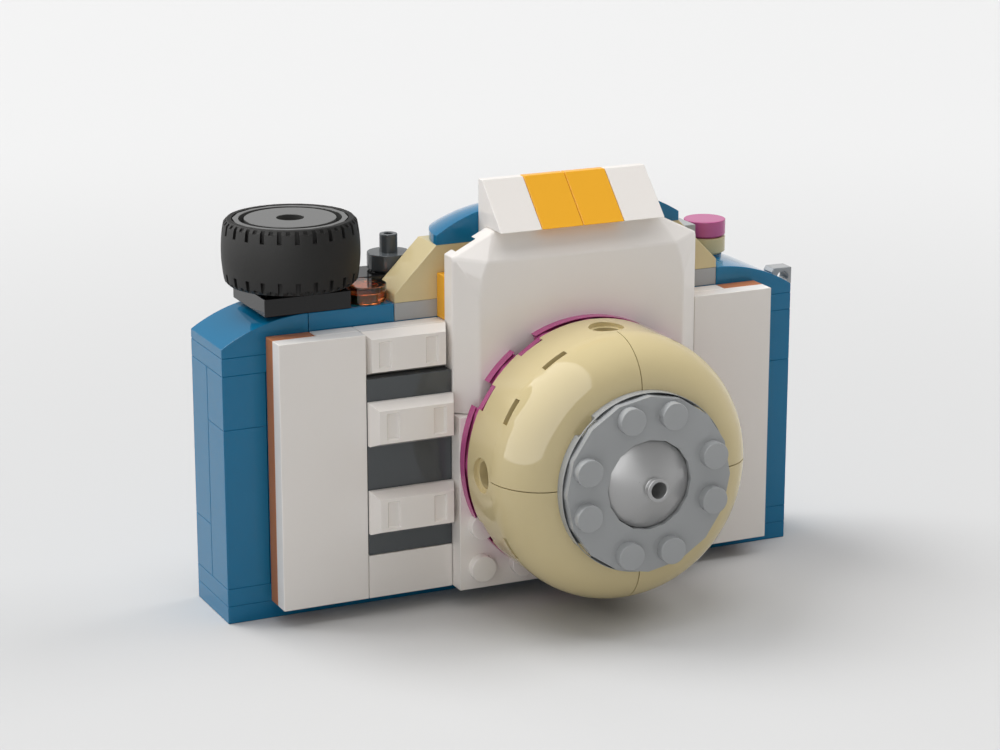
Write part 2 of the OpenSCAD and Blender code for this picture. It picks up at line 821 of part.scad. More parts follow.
module dial_hub() color(dark_grey) on_dial(pin_collar_h) difference() {
    linear_extrude(hub_h) polygon(corners(hub_rim_r));
    translate([0, 0, -over]) cylinder(r = hub_bore_r, h = hub_h + 2 * over);
    translate([0, 0, hub_h - hub_groove_depth]) difference() {
        cylinder(r = hub_groove_r, h = hub_groove_depth + over);
        translate([0, 0, -over]) cylinder(r = hub_disc_r, h = hub_groove_depth + 3 * over);
    }
}

// The tread bulges as an arc over the full width of the tyre
tread_arc_r = (tyre_w * tyre_w / 4 + tread_rise * tread_rise) / (2 * tread_rise);

module tyre_outline() intersection() {
    polygon([
        [tyre_bore_r, 0],
        [tyre_shoulder_r - tyre_chamfer, 0],
        [tyre_r, tyre_chamfer + tread_rise],
        [tyre_r, tyre_w - tyre_chamfer - tread_rise],
        [tyre_shoulder_r - tyre_chamfer, tyre_w],
        [tyre_bore_r, tyre_w]
    ]);
    translate([tyre_r - tread_arc_r, tyre_w / 2]) circle(r = tread_arc_r, $fn = 256);
}

module tyre_grooves() for (n = [0:groove_count - 1], short = [0, 1])
    let (length = short ? groove_short : groove_long)
        rotate((n + short / 2) * 360 / groove_count)
            for (up = [-over, tyre_w - length])
                translate([tyre_shoulder_r - groove_depth, -groove_w / 2, up])
                    cube([tyre_r, groove_w, length + over]);

module dial_tyre() color(soot) on_dial(tyre_lift) difference() {
    rotate_extrude($fn = 128) tyre_outline();
    tyre_grooves();
}

// Small round pieces on one stud each

module round_plate(studded) difference() {
    union() {
        cylinder(r = foot_r, h = plate_h);
        translate([0, 0, foot_h]) cylinder(r = round_r, h = plate_h - foot_h);
        if (studded) translate([0, 0, plate_h]) stud();
    }
    socket();
}

module rear_plate() color(soot) at(3, 1, plate_rows_under_roof) {
    brick(2, 1, 1, studded = false);
    translate([1.5 * pitch, pitch / 2, plate_h]) stud();
}

module shutter_post() color(dark_grey) at(4.5, 1.5, plate_rows_under_roof + 1) difference() {
    union() {
        round_plate(studded = false);
        translate([0, 0, plate_h - root]) cylinder(r = post_tube_r, h = post_tube_l + root);
    }
    translate([0, 0, plate_h + post_tube_l - post_bore_depth])
        cylinder(r = post_bore_r, h = post_bore_depth + over);
}

module signal_lamp() color(clear_orange) at(3.5, 0.5, plate_rows_under_roof) round_plate(studded = false);

module knob_base() color(tan_sand)
    at(cols_before_knob, rows_before_knob, plate_rows_under_roof) round_plate(studded = true);

module knob_cap() color(rose)
    at(cols_before_knob, rows_before_knob, plate_rows_under_roof + 1) round_plate(studded = false);

module eyepiece_block() color(light_grey) at(11, 1, plate_rows_under_roof) brick(1, 1, 2, studded = false);

// Strap lug: an eye on a pad, held by a peg in the edge of the right end plate

module on_side() at(body_cols, body_rows / 2, plate_rows_under_ends) children();

module strap_lug() color(light_grey) on_side() {
    translate([0, -lug_t / 2, 0]) along_y(lug_t) difference() {
        lug_outline();
        translate([lug_reach / 2, plate_h + lug_hole_up]) circle(r = lug_hole_r);
    }
    translate([0, -pitch / 2, -plate_h / 2]) cube([lug_pad_t, pitch, plate_h + plate_h / 2]);
    lug_peg(0);
}

module lug_peg(clearance) translate([-lug_peg_l - clearance, 0, plate_h / 2])
    rotate([0, 90, 0]) cylinder(r = lug_peg_r + clearance, h = lug_peg_l + clearance + root);

module lug_outline() polygon([
    [0, 0],
    [0, plate_h + lip_h + play],
    [-lug_reach / 8, plate_h + lug_rise - lug_rise / 4],
    [0, plate_h + lug_rise],
    [lug_reach, plate_h + lug_rise - play],
    [lug_reach, plate_h],
    [lug_pad_t, 0]
]);

base_plate();
sill_plate();
corner_posts();
corner_bricks();
core_plates();
core_plates_upper();
side_stud_bricks();
short_side_stud_bricks();
back_bricks();
back_brick_top();
small_spacers();
end_plates();
end_slope_left();
end_slope_right();
shoulder_plate();
top_plate();
trim_plates();
backing_strips();
backing_plate_wide();
centre_backing_plate();
panel_tile_left();
panel_tile_right();
foot_tile();
jumper_plate();
centre_mid_plate();
studded_plate();
grip_bar_top();
grip_bar_middle();
grip_bar_bottom();
hood();
orange_plate();
cap_left();
cap_mid_left();
cap_mid_right();
cap_right();
lens_mount_plate();
lens_barrel();
lens_dome_a();
lens_dome_b();
lens_dome_c();
lens_dome_d();
lens_front_plate();
lens_dish();
roof_slope_left();
roof_slope_right();
crown_dome_left();
crown_dome_right();
crown_back_brick();
crown_fill_bricks();
crown_tile();
dial_base();
dial_hub();
dial_tyre();
rear_plate();
shutter_post();
signal_lamp();
knob_base();
knob_cap();
eyepiece_block();
strap_lug();
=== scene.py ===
import math
import bmesh
import bpy
from mathutils import Matrix, Vector


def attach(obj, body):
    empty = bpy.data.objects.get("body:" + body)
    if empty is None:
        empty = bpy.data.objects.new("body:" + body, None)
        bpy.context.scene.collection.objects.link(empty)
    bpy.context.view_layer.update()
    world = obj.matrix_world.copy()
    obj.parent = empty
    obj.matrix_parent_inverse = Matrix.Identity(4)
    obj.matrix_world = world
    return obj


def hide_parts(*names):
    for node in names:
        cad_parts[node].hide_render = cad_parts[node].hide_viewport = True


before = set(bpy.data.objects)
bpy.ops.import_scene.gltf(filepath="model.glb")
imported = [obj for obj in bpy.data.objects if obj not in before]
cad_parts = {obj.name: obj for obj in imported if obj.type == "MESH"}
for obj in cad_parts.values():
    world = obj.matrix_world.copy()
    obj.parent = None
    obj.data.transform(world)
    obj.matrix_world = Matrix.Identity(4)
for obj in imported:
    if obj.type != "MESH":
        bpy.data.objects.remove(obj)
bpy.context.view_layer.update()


# Base and sill: two long plates of azure plastic, moulded with a hollow under
# them. The sill is pushed onto the studs of the base, which rests on the table.
# Every piece is built in millimetres on the grid of studs.
millimetre = 0.001
pitch = 8.0
plate_h = pitch * 2 / 5
play = 0.05
wall = 1.5
hollow_h = 1.8
stud_r = 2.4
stud_h = 1.65
overlap = 0.4
tube_r = pitch / math.sqrt(2) - stud_r
edge_r = 0.15
lip_r = 0.18
lip_steps = 5
weld_gap = 0.001
body_cols = 14
body_rows = 2


def at(col, row, level):
    """Place of a column, a row and a level of the body."""
    x, y = (col - body_cols / 2) * pitch, (row - body_rows / 2) * pitch
    return Matrix.Translation((x, y, level * plate_h))


def oblong(x0, y0, x1, y1, z):
    """The four corners of a rectangle at one height."""
    return [(x0, y0, z), (x1, y0, z), (x1, y1, z), (x0, y1, z)]


def hoop(r, z, x=0, y=0, count=48):
    """Points round a circle at one height."""
    return [
        (x + r * math.cos(2 * math.pi * n / count), y + r * math.sin(2 * math.pi * n / count), z)
        for n in range(count)
    ]


def skin(bm, place, rings, joined=False):
    """Joins rings of points one after another, and closes the two ends or joins them."""
    loops = [[bm.verts.new(place @ Vector(point)) for point in ring] for ring in rings]
    pairs = list(zip(loops, loops[1:]))
    if joined:
        pairs.append((loops[-1], loops[0]))
    else:
        bm.faces.new(loops[0])
        bm.faces.new(loops[-1])
    for low, high in pairs:
        for n in range(len(low)):
            m = (n + 1) % len(low)
            bm.faces.new((low[n], low[m], high[m], high[n]))


def stud(bm, place, x, y, z):
    """A stud with a rounded edge round its flat top."""
    rings = [hoop(stud_r, z - overlap, x, y)]
    for n in range(lip_steps + 1):
        a = math.pi / 2 * n / lip_steps
        out, up = lip_r * (1 - math.cos(a)), lip_r * (1 - math.sin(a))
        rings.append(hoop(stud_r - out, z + stud_h - up, x, y))
    skin(bm, place, rings)


def brick(bm, place, cols, rows, plates, studded=True):
    """A plate, brick or tile: a shallow tray below with tubes in it, studs on top."""
    w, d, h = cols * pitch - play, rows * pitch - play, plates * plate_h
    thin = play + wall
    inner = oblong(thin, thin, cols * pitch - thin, rows * pitch - thin, 0)
    skin(bm, place, [
        [(x, y, hollow_h) for x, y, z in inner],
        inner,
        oblong(play, play, w, d, 0),
        oblong(play, play, w, d, h),
    ])
    for col in range(1, cols):
        for row in range(1, rows):
            x, y = col * pitch, row * pitch
            skin(bm, place, [
                hoop(stud_r + play, hollow_h + overlap / 2, x, y),
                hoop(stud_r + play, 0, x, y),
                hoop(tube_r, 0, x, y),
                hoop(tube_r, hollow_h + overlap / 2, x, y),
            ], joined=True)
    if studded:
        for col in range(cols):
            for row in range(rows):
                stud(bm, place, (col + 0.5) * pitch, (row + 0.5) * pitch, h)


def soft_edges(bm, sharp, right_angled):
    """Marks the edges to be rounded, and how much those near a right angle are."""
    steep = 60
    weight = bm.edges.layers.float.new("bevel_weight_edge")
    for edge in bm.edges:
        turn = math.degrees(edge.calc_face_angle(0)) if len(edge.link_faces) == 2 else 0
        if turn > sharp:
            edge[weight] = right_angled if turn > steep else 1


def moulding(node, bm, finish, body="camera_body", radius=edge_r, sharp=30, right_angled=1):
    """Turns a mesh in millimetres into the piece that stands for a CAD node."""
    bmesh.ops.remove_doubles(bm, verts=bm.verts, dist=weld_gap)
    bmesh.ops.recalc_face_normals(bm, faces=bm.faces)
    mesh = bpy.data.meshes.new(node + ".moulded")
    obj = bpy.data.objects.new(node + ".moulded", mesh)
    soft_edges(bm, sharp, right_angled)
    for face in bm.faces:
        face.smooth = True
    bmesh.ops.scale(bm, vec=(millimetre,) * 3, verts=bm.verts)
    bm.to_mesh(mesh)
    bm.free()
    bpy.context.scene.collection.objects.link(obj)
    rounding = obj.modifiers.new("rounded edges", "BEVEL")
    rounding.limit_method = "WEIGHT"
    rounding.width = radius * millimetre
    rounding.segments = 3
    rounding.use_clamp_overlap = True
    rounding.harden_normals = True
    material, slot = finish
    mesh.materials.append(material)
    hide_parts(node)
    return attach(obj, body)


class Level:
    """What a node gives out. Sums and products of numbers add the Math nodes."""

    def __init__(self, surface, socket):
        self.surface, self.socket = surface, socket

    def worked(self, operation, first, second):
        return self.surface.node("ShaderNodeMath", {"operation": operation}, {0: first, 1: second})

    def __add__(self, other):
        return self.worked("ADD", self, other)

    def __radd__(self, other):
        return self.worked("ADD", other, self)

    def __mul__(self, other):
        return self.worked("MULTIPLY", self, other)

    def __rmul__(self, other):
        return self.worked("MULTIPLY", other, self)


class Surface:
    """The nodes of a material, or of the world round the object, as they are added."""

    def __init__(self, owner):
        owner.use_nodes = True
        self.owner, self.tree = owner, owner.node_tree
        self.tree.nodes.clear()

    def node(self, kind, settings, inputs, out=0):
        """Adds a node with its settings, and then the values or links of its sockets."""
        made = self.tree.nodes.new(kind)
        for name, value in settings.items():
            setattr(made, name, value)
        for name, value in inputs.items():
            if isinstance(value, Level):
                self.tree.links.new(value.socket, made.inputs[name])
            else:
                made.inputs[name].default_value = value
        if len(made.outputs):
            return Level(self, made.outputs[out])


def linear(red, green, blue):
    """Turns a screen colour, 0 to 255, into the linear one that the shader takes."""
    return tuple(
        c / 12.92 if c <= 0.04045 else ((c + 0.055) / 1.055) ** 2.4
        for c in (red / 255, green / 255, blue / 255)
    ) + (1,)


def moulded_plastic(name, colour, streak=0.05, slot=None):
    """Hard glossy plastic: flow streaks in the colour, uneven gloss, a faint ripple."""
    surface = Surface(bpy.data.materials.new(name))
    where = surface.node("ShaderNodeTexCoord", {}, {}, "Object")
    flow = surface.node("ShaderNodeTexNoise", {}, {"Vector": where, "Scale": 55, "Detail": 4}, "Fac")
    grain = surface.node("ShaderNodeTexNoise", {}, {"Vector": where, "Scale": 900, "Detail": 3}, "Fac")
    ripple = surface.node("ShaderNodeTexNoise", {}, {"Vector": where, "Scale": 240, "Detail": 1}, "Fac")
    deep = tuple(c * (1 - streak) for c in colour[:3]) + (1,)
    pale = tuple(min(1, c * (1 + streak)) for c in colour[:3]) + (1,)
    tint = surface.node(
        "ShaderNodeMix", {"data_type": "RGBA"}, {"Factor": flow, 6: deep, 7: pale}, 2)
    relief = surface.node(
        "ShaderNodeBump", {}, {"Strength": 0.04, "Distance": 0.0001, "Height": ripple + 0.25 * grain})
    plastic = surface.node("ShaderNodeBsdfPrincipled", {}, {
        "Base Color": tint,
        "Roughness": 0.03 + 0.03 * grain,
        "IOR": 1.4,
        "Normal": relief,
    })
    surface.node("ShaderNodeOutputMaterial", {}, {"Surface": plastic})
    return surface.owner, slot or name


azure = moulded_plastic("azure_plastic", linear(16, 110, 152))

bm = bmesh.new()
brick(bm, at(0, 0, 0), body_cols, body_rows, 1)
moulding("base_plate", bm, azure)

bm = bmesh.new()
brick(bm, at(0, 0, 1), body_cols, body_rows, 1)
moulding("sill_plate", bm, azure)


# Corner columns: a tall post and a brick on each corner, one stud square, azure.
# In front the post stands on the sill, at the back the brick does.
wall_level = 2
brick_plates = 3
tall_plates = 9

bm = bmesh.new()
for col in (0, body_cols - 1):
    brick(bm, at(col, 0, wall_level), 1, 1, tall_plates)
    brick(bm, at(col, 1, wall_level + brick_plates), 1, 1, tall_plates)
moulding("corner_posts", bm, azure)

bm = bmesh.new()
for col in (0, body_cols - 1):
    brick(bm, at(col, 0, wall_level + tall_plates), 1, 1, brick_plates)
    brick(bm, at(col, 1, wall_level), 1, 1, brick_plates)
moulding("corner_bricks", bm, azure)


# Core: courses of azure plates and of bricks whose front studs hold the front.
# They stay as the solids are, because only their ends show in the seams.
hidden = (
    "core_plates", "core_plates_upper", "side_stud_bricks", "short_side_stud_bricks",
    "small_spacers", "crown_fill_bricks",
)
for node in hidden:
    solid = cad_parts[node]
    solid.data.materials.clear()
    solid.data.materials.append(azure[0])


# Back wall: azure bricks on the back row, with the plates of the core between
# them. Its face is plain courses, pushed together stud by stud.
back_brick_levels = (3, 8)
top_brick_level = 13

bm = bmesh.new()
for level in back_brick_levels:
    brick(bm, at(1, 1, level), body_cols - 2, 1, brick_plates)
moulding("back_bricks", bm, azure)

bm = bmesh.new()
brick(bm, at(2, 1, top_brick_level), body_cols - 4, 1, brick_plates)
moulding("back_brick_top", bm, azure)


# Shoulders: a plate at each end, and on it a curved slope that falls to a thin
# lip. The right slope also has the round seat and the stud that carry the knob.
end_level = 14
deck_level = 16
roof_level = 17
lip_h = 1.6
slope_h = 2 * plate_h
slope_l = 2 * pitch
slope_rise = slope_h - lip_h
slope_r = (slope_l ** 2 + slope_rise ** 2) / (2 * slope_rise)
foot_r = 3.3
mirrored = Matrix.Scale(-1, 4, (1, 0, 0))

bm = bmesh.new()
for col in (0, body_cols - 2):
    brick(bm, at(col, 0, end_level), 2, body_rows, 1)
moulding("end_plates", bm, azure)


def slope_top(out):
    """Height of a curved slope at a distance out from its high side."""
    return slope_h - slope_r + math.sqrt(slope_r ** 2 - out ** 2)


def slope_section(reach, steps=24):
    """The section of a curved slope, as far out as it reaches."""
    top = [(reach * n / steps, slope_top(reach * n / steps)) for n in range(steps + 1)]
    return [(0, 0)] + top + [(reach, 0)]


def curved_slope(bm, place):
    section = slope_section(slope_l - 2 * play)
    skin(bm, place, [
        [(play + x, y, z) for x, z in section]
        for y in (play, body_rows * pitch - play)
    ])


bm = bmesh.new()
curved_slope(bm, at(2, 0, end_level + 1) @ mirrored)
moulding("end_slope_left", bm, azure, sharp=20)

knob_place = at(body_cols - 1.5, 1.5, roof_level)
bm = bmesh.new()
curved_slope(bm, at(body_cols - 2, 0, end_level + 1))
skin(bm, knob_place, [hoop(foot_r, -plate_h / 2), hoop(foot_r, 0)])
stud(bm, knob_place, 0, 0, 0)
moulding("end_slope_right", bm, azure, sharp=20)


# Deck: an azure plate beside the dial and a light grey plate across the middle,
# whose studs hold everything on the roof.
deck_col = 4
deck_cols = 8
light_grey = moulded_plastic("light_grey_plastic", linear(162, 164, 165))

bm = bmesh.new()
brick(bm, at(deck_col - 2, 0, deck_level), 2, body_rows, 1)
moulding("shoulder_plate", bm, azure)

bm = bmesh.new()
brick(bm, at(deck_col, 0, deck_level), deck_cols, body_rows, 1)
moulding("top_plate", bm, light_grey)


# Backing of the front: nougat and white plates pushed onto the side studs of
# the core. Only their edges show, as thin lines round the panels.
front_rows = 6
bar_col = 3
bar_cols = 2
centre_col = bar_col + bar_cols
lens_cols = 6
nougat = moulded_plastic("nougat_plastic", linear(184, 115, 70))
white = moulded_plastic("white_plastic", linear(236, 231, 226), streak=0.02)


def front(col, up, layer):
    """Place on the front wall. A piece is built lying down, and its top looks forward."""
    out = Matrix.Translation((
        (col - body_cols / 2) * pitch,
        -body_rows / 2 * pitch - layer * plate_h,
        plate_h + up * pitch,
    ))
    return out @ Matrix.Rotation(math.pi / 2, 4, "X")


bm = bmesh.new()
for col in (1, body_cols - 2):
    brick(bm, front(col, 0, 0), 1, front_rows, 1)
moulding("trim_plates", bm, nougat)

bm = bmesh.new()
for col in (2, body_cols - 3):
    brick(bm, front(col, 0, 0), 1, front_rows, 1)
moulding("backing_strips", bm, white)

bm = bmesh.new()
brick(bm, front(bar_col, 0, 0), bar_cols, front_rows, 1)
moulding("backing_plate_wide", bm, white)

bm = bmesh.new()
brick(bm, front(centre_col, 0, 0), lens_cols, front_rows, 1)
moulding("centre_backing_plate", bm, white)


# Panels: smooth white tiles at both sides of the front, and a small one under
# the grip bars. A tile has no studs, so its face is one flat glossy field.
for node, col in (("panel_tile_left", 1), ("panel_tile_right", body_cols - 3)):
    bm = bmesh.new()
    brick(bm, front(col, 0, 1), 2, front_rows, 1, studded=False)
    moulding(node, bm, white)

bm = bmesh.new()
brick(bm, front(bar_col, 0, 1), bar_cols, 1, 1, studded=False)
moulding("foot_tile", bm, white)


# Jumper plate: dark grey, smooth but for two studs, each in the middle of four
# cells. It lies behind the grip bars and holds two of them.
dark_grey = moulded_plastic("dark_grey_plastic", linear(77, 81, 84))
jumper_rows = 4
jumper_place = front(bar_col, 1, 1)

bm = bmesh.new()
brick(bm, jumper_place, bar_cols, jumper_rows, 1, studded=False)
for row in (1, 3):
    stud(bm, jumper_place, pitch, row * pitch, plate_h)
moulding("jumper_plate", bm, dark_grey)


# Centre: two white plates behind the lens. The studs of the outer one show at
# its corners, beside the round pieces of the lens.
centre_rows = 4

bm = bmesh.new()
brick(bm, front(centre_col, 0, 1), lens_cols, centre_rows, 1)
moulding("centre_mid_plate", bm, white)

bm = bmesh.new()
brick(bm, front(centre_col, 0, 2), lens_cols, centre_rows, 1)
moulding("studded_plate", bm, white)


# Grip bars: three low white blocks whose four sides lean in, each with two
# shallow recesses in its face. They are pushed onto studs behind them.
bar_foot_h = 0.8
bar_lean = 1.0
recess_w = 2.36
recess_l = 4.8
recess_depth = 0.45
recess_from_mid = 4.4


def carved(body, cutter):
    """Cuts the solids of one mesh out of another."""
    made = []
    for bm in (body, cutter):
        bmesh.ops.recalc_face_normals(bm, faces=bm.faces)
        mesh = bpy.data.meshes.new("cut")
        bm.to_mesh(mesh)
        bm.free()
        made.append(bpy.data.objects.new("cut", mesh))
        bpy.context.scene.collection.objects.link(made[-1])
    cut = made[0].modifiers.new("cut", "BOOLEAN")
    cut.object = made[1]
    cut.solver = "EXACT"
    result = bmesh.new()
    result.from_object(made[0], bpy.context.evaluated_depsgraph_get())
    for obj in made:
        mesh = obj.data
        bpy.data.objects.remove(obj)
        bpy.data.meshes.remove(mesh)
    return result


def grip_bar(node, place):
    """A low block with leaning sides, a tray below and two recesses in its face."""
    thin = play + wall
    w, d, top = 2 * pitch - play, pitch - play, play + bar_lean
    inner = oblong(thin, thin, 2 * pitch - thin, pitch - thin, 0)
    bm = bmesh.new()
    skin(bm, place, [
        [(x, y, hollow_h) for x, y, z in inner],
        inner,
        oblong(play, play, w, d, 0),
        oblong(play, play, w, d, bar_foot_h),
        oblong(top, top, 2 * pitch - top, pitch - top, plate_h),
    ])
    cutter = bmesh.new()
    for side in (-1, 1):
        x, y = pitch + side * recess_from_mid, pitch / 2
        rings = []
        for up in (-recess_depth, recess_depth):
            w, l = (recess_w + up) / 2, (recess_l + up) / 2
            rings.append(oblong(x - w, y - l, x + w, y + l, plate_h + up))
        skin(cutter, place, rings)
    bm = carved(bm, cutter)
    moulding(node, bm, white, radius=0.07, sharp=20)


grip_bar("grip_bar_top", front(bar_col, 5, 1))
grip_bar("grip_bar_middle", front(bar_col, 3.5, 2))
grip_bar("grip_bar_bottom", front(bar_col, 1.5, 2))


# Hood: one white moulding above the lens, with cut corners, slanted bands down
# its sides and along its top, and a raised face. It is pushed onto the studs
# behind it.
hood_rows = 4
hood_w = lens_cols * pitch
hood_h = hood_rows * pitch
hood_t = 2 * plate_h
hood_rim_t = 3.4
hood_side_band = 4.0
hood_top_band = 4.8
face_corner_shares = [(0, 0.8), (0.075, 0.34), (0.21, 0)]
hood_place = front(centre_col, centre_rows, 1)
cut_past = 1.0

outline = [
    (play, play), (hood_w - play, play), (hood_w - play, hood_h - pitch / 2),
    (hood_w - pitch, hood_h - play), (pitch, hood_h - play), (play, hood_h - pitch / 2),
]
corner = [
    (hood_side_band + x * pitch, hood_h - hood_top_band - y * pitch) for x, y in face_corner_shares
]
face = [(hood_side_band, play)] + corner
face += [(hood_w - x, y) for x, y in reversed(face)]
bm = bmesh.new()
points = [(x, y, 0) for x, y in outline] + [(x, y, hood_rim_t) for x, y in outline]
points += [(x, y, hood_t) for x, y in face]
for point in points:
    bm.verts.new(hood_place @ Vector(point))
bmesh.ops.convex_hull(bm, input=bm.verts)
bmesh.ops.dissolve_limit(bm, angle_limit=math.radians(1), verts=bm.verts, edges=bm.edges)
cutter = bmesh.new()
skin(cutter, hood_place, [
    oblong(wall, wall, hood_w - wall, hood_h - wall, -cut_past),
    oblong(wall, wall, hood_w - wall, hood_h - wall, hollow_h),
])
bm = carved(bm, cutter)
moulding("hood", bm, white, radius=0.4, sharp=8, right_angled=0.5)


# Caps: an orange plate behind the top of the hood, and four wedges that stand
# on the front wall and lean over the hood, white outside and orange inside.
orange = moulded_plastic("orange_plastic", linear(240, 174, 44), streak=0.03)
wedge_flat = plate_h / 2
wedge_row = front_rows + 1

bm = bmesh.new()
brick(bm, front(centre_col, front_rows, 0), lens_cols, 1, 1)
moulding("orange_plate", bm, orange)

wedge = [
    (play, 0), (play, plate_h), (pitch, plate_h),
    (pitch, 3 * plate_h), (2 * pitch, wedge_flat), (2 * pitch, 0),
]
caps = [("cap_left", white), ("cap_mid_left", orange), ("cap_mid_right", orange), ("cap_right", white)]
for n, (node, finish) in enumerate(caps):
    bm = bmesh.new()
    skin(bm, front(centre_col + 1 + n, wedge_row, 0), [
        [(x, y, z) for y, z in wedge] for x in (play, pitch - play)
    ])
    moulding(node, bm, finish)


# Lens mount: a round rose plate, sixteen sided inside a thin round skirt, with
# eight notches at its edge where studs could plug in. Studs and notches are
# placed in half pitches from the axis of the lens.
mount_layer = 3
lens_r = lens_cols / 2 * pitch
sides = 16
skirt_h = 1.8
facet_inset = 0.28
slit_wall = 0.1
slit_depth = 1.5
gap_h = 1.45
fine = 96
rose = moulded_plastic("rose_plastic", linear(184, 87, 140))
inner_places = [(x, y) for x in (-3, -1, 1, 3) for y in (-3, -1, 1, 3)]
rim_places = [(x, y) for x in (-5, -3, 3, 5) for y in (-5, -3, 3, 5) if abs(x) + abs(y) == 8]
face_places = [(x, y) for x, y in inner_places if abs(x) + abs(y) == 4]


def lens(layer):
    """Place on the axis of the lens, a number of plates out from the front wall."""
    return front(centre_col + lens_cols / 2, lens_cols / 2, layer)


def many_sided(r, z):
    """A ring of points along a sixteen-sided outline whose corners are at r."""
    ring = []
    for n in range(fine):
        a = 2 * math.pi * n / fine
        off = (a + math.pi / sides) % (2 * math.pi / sides) - math.pi / sides
        mid = math.pi / sides - abs(off)
        out = r * math.cos(math.pi / sides) / math.cos(mid)
        ring.append((out * math.cos(a), out * math.sin(a), z))
    return ring


def notches(places, place, depth):
    """A cutter for round notches, a stud wide, in the underside of a piece."""
    cutter = bmesh.new()
    for x, y in places:
        skin(cutter, place, [
            hoop(stud_r + play, z, x * pitch / 2, y * pitch / 2) for z in (-cut_past, depth)
        ])
    return cutter


bm = bmesh.new()
mount_place = lens(mount_layer)
mount_r = lens_r - play
skin(bm, mount_place, [
    hoop(lens_r - wall, skirt_h, count=fine),
    hoop(lens_r - wall, 0, count=fine),
    hoop(mount_r, 0, count=fine),
    hoop(mount_r, skirt_h, count=fine),
    hoop(mount_r - slit_wall, skirt_h, count=fine),
    many_sided(mount_r - facet_inset, skirt_h - slit_depth),
    many_sided(mount_r - facet_inset, plate_h),
])
bm = carved(bm, notches(rim_places, mount_place, skirt_h + play))
for x, y in inner_places:
    stud(bm, mount_place, x * pitch / 2, y * pitch / 2, plate_h)
moulding("lens_mount_plate", bm, rose, radius=0.12)


# Lens barrel: a tan drum three plates high. Four pin holes with counterbores
# look out of its side, and eight notches are open at its back edge.
barrel_layer = mount_layer + 1
barrel_h = brick_plates * plate_h
pin_hole_r = 2.4
counterbore_r = 3.1
counterbore_h = 0.9
pin_hole_l = 8.0
shell_wall = 1.4
pin_up = plate_h * 7 / 4
tan = moulded_plastic("tan_plastic", linear(206, 190, 146), streak=0.03)

bm = bmesh.new()
barrel_place = lens(barrel_layer)
skin(bm, barrel_place, [
    hoop(lens_r - shell_wall, hollow_h, count=fine),
    hoop(lens_r - shell_wall, 0, count=fine),
    hoop(mount_r, 0, count=fine),
    hoop(mount_r, barrel_h, count=fine),
])
cutter = notches(rim_places, barrel_place, gap_h)
for quarter in range(4):
    turned = barrel_place @ Matrix.Rotation(quarter * math.pi / 2, 4, "Z")
    turned = turned @ Matrix.Translation((0, 0, pin_up)) @ Matrix.Rotation(math.pi / 2, 4, "Y")
    skin(cutter, turned, [
        hoop(pin_hole_r, lens_r - pin_hole_l),
        hoop(pin_hole_r, lens_r - counterbore_h),
        hoop(counterbore_r, lens_r - counterbore_h),
        hoop(counterbore_r, lens_r + cut_past),
    ])
bm = carved(bm, cutter)
for x, y in face_places:
    stud(bm, barrel_place, x * pitch / 2, y * pitch / 2, barrel_h)
moulding("lens_barrel", bm, tan, radius=0.1)


# Domes: four tan quarters in front of the barrel. Each is turned from a section
# whose edge is a quarter of an ellipse, so that together they look like a torus.
dome_layer = barrel_layer + brick_plates
dome_h = barrel_h
dome_edge = pitch
dome_seam = 0.09
dome_r = lens_r - play - dome_seam
dome_hole_r = stud_r + play
rim_steps = 20


def turned_section(section, a):
    """A section, given as distances out and heights, turned to an angle."""
    return [(out * math.cos(a), out * math.sin(a), z) for out, z in section]


def quarter_turn(section, steps=32):
    """A section turned through a right angle, as rings of points."""
    return [turned_section(section, math.radians(90 * n / steps)) for n in range(steps + 1)]


dome_section = [
    (dome_hole_r, dome_h), (dome_hole_r, 0), (dome_hole_r + wall, 0), (dome_hole_r + wall, hollow_h),
    (dome_r - wall, hollow_h), (dome_r - wall, dome_seam),
]
for n in range(rim_steps + 1):
    a = math.radians(90 * n / rim_steps)
    out = dome_r - dome_edge + dome_edge * math.cos(a)
    dome_section.append((out, max(dome_seam, dome_h * math.sin(a))))
for quarter, letter in enumerate("abcd"):
    turned = lens(dome_layer) @ Matrix.Rotation(quarter * math.pi / 2, 4, "Z")
    turned = turned @ Matrix.Translation((dome_seam, dome_seam, 0))
    bm = bmesh.new()
    skin(bm, turned, quarter_turn(dome_section))
    bm = carved(bm, notches([(3, 5), (5, 3)], turned, gap_h))
    for x, y in ((1, 3), (3, 1)):
        stud(bm, turned, x * pitch / 2, y * pitch / 2, dome_h)
    moulding("lens_dome_" + letter, bm, tan, radius=0.05)


# Front plate: light grey, sixteen sided inside a thin round skirt, with eight
# studs and a sixteen-sided hole in the middle for the dish.
front_r = lens_r - dome_edge - play
eye_r = 8.0
front_place = lens(dome_layer + brick_plates)

bm = bmesh.new()
skin(bm, front_place, [
    many_sided(eye_r, 0),
    hoop(front_r, 0, count=fine),
    hoop(front_r, skirt_h, count=fine),
    hoop(front_r - slit_wall, skirt_h, count=fine),
    many_sided(front_r - facet_inset, skirt_h - slit_depth),
    many_sided(front_r - facet_inset, plate_h),
    many_sided(eye_r, plate_h),
], joined=True)
bm = carved(bm, notches([(x, y) for x in (-3, 3) for y in (-3, 3)], front_place, gap_h))
for x, y in face_places:
    stud(bm, front_place, x * pitch / 2, y * pitch / 2, plate_h)
moulding("lens_front_plate", bm, light_grey, radius=0.12)


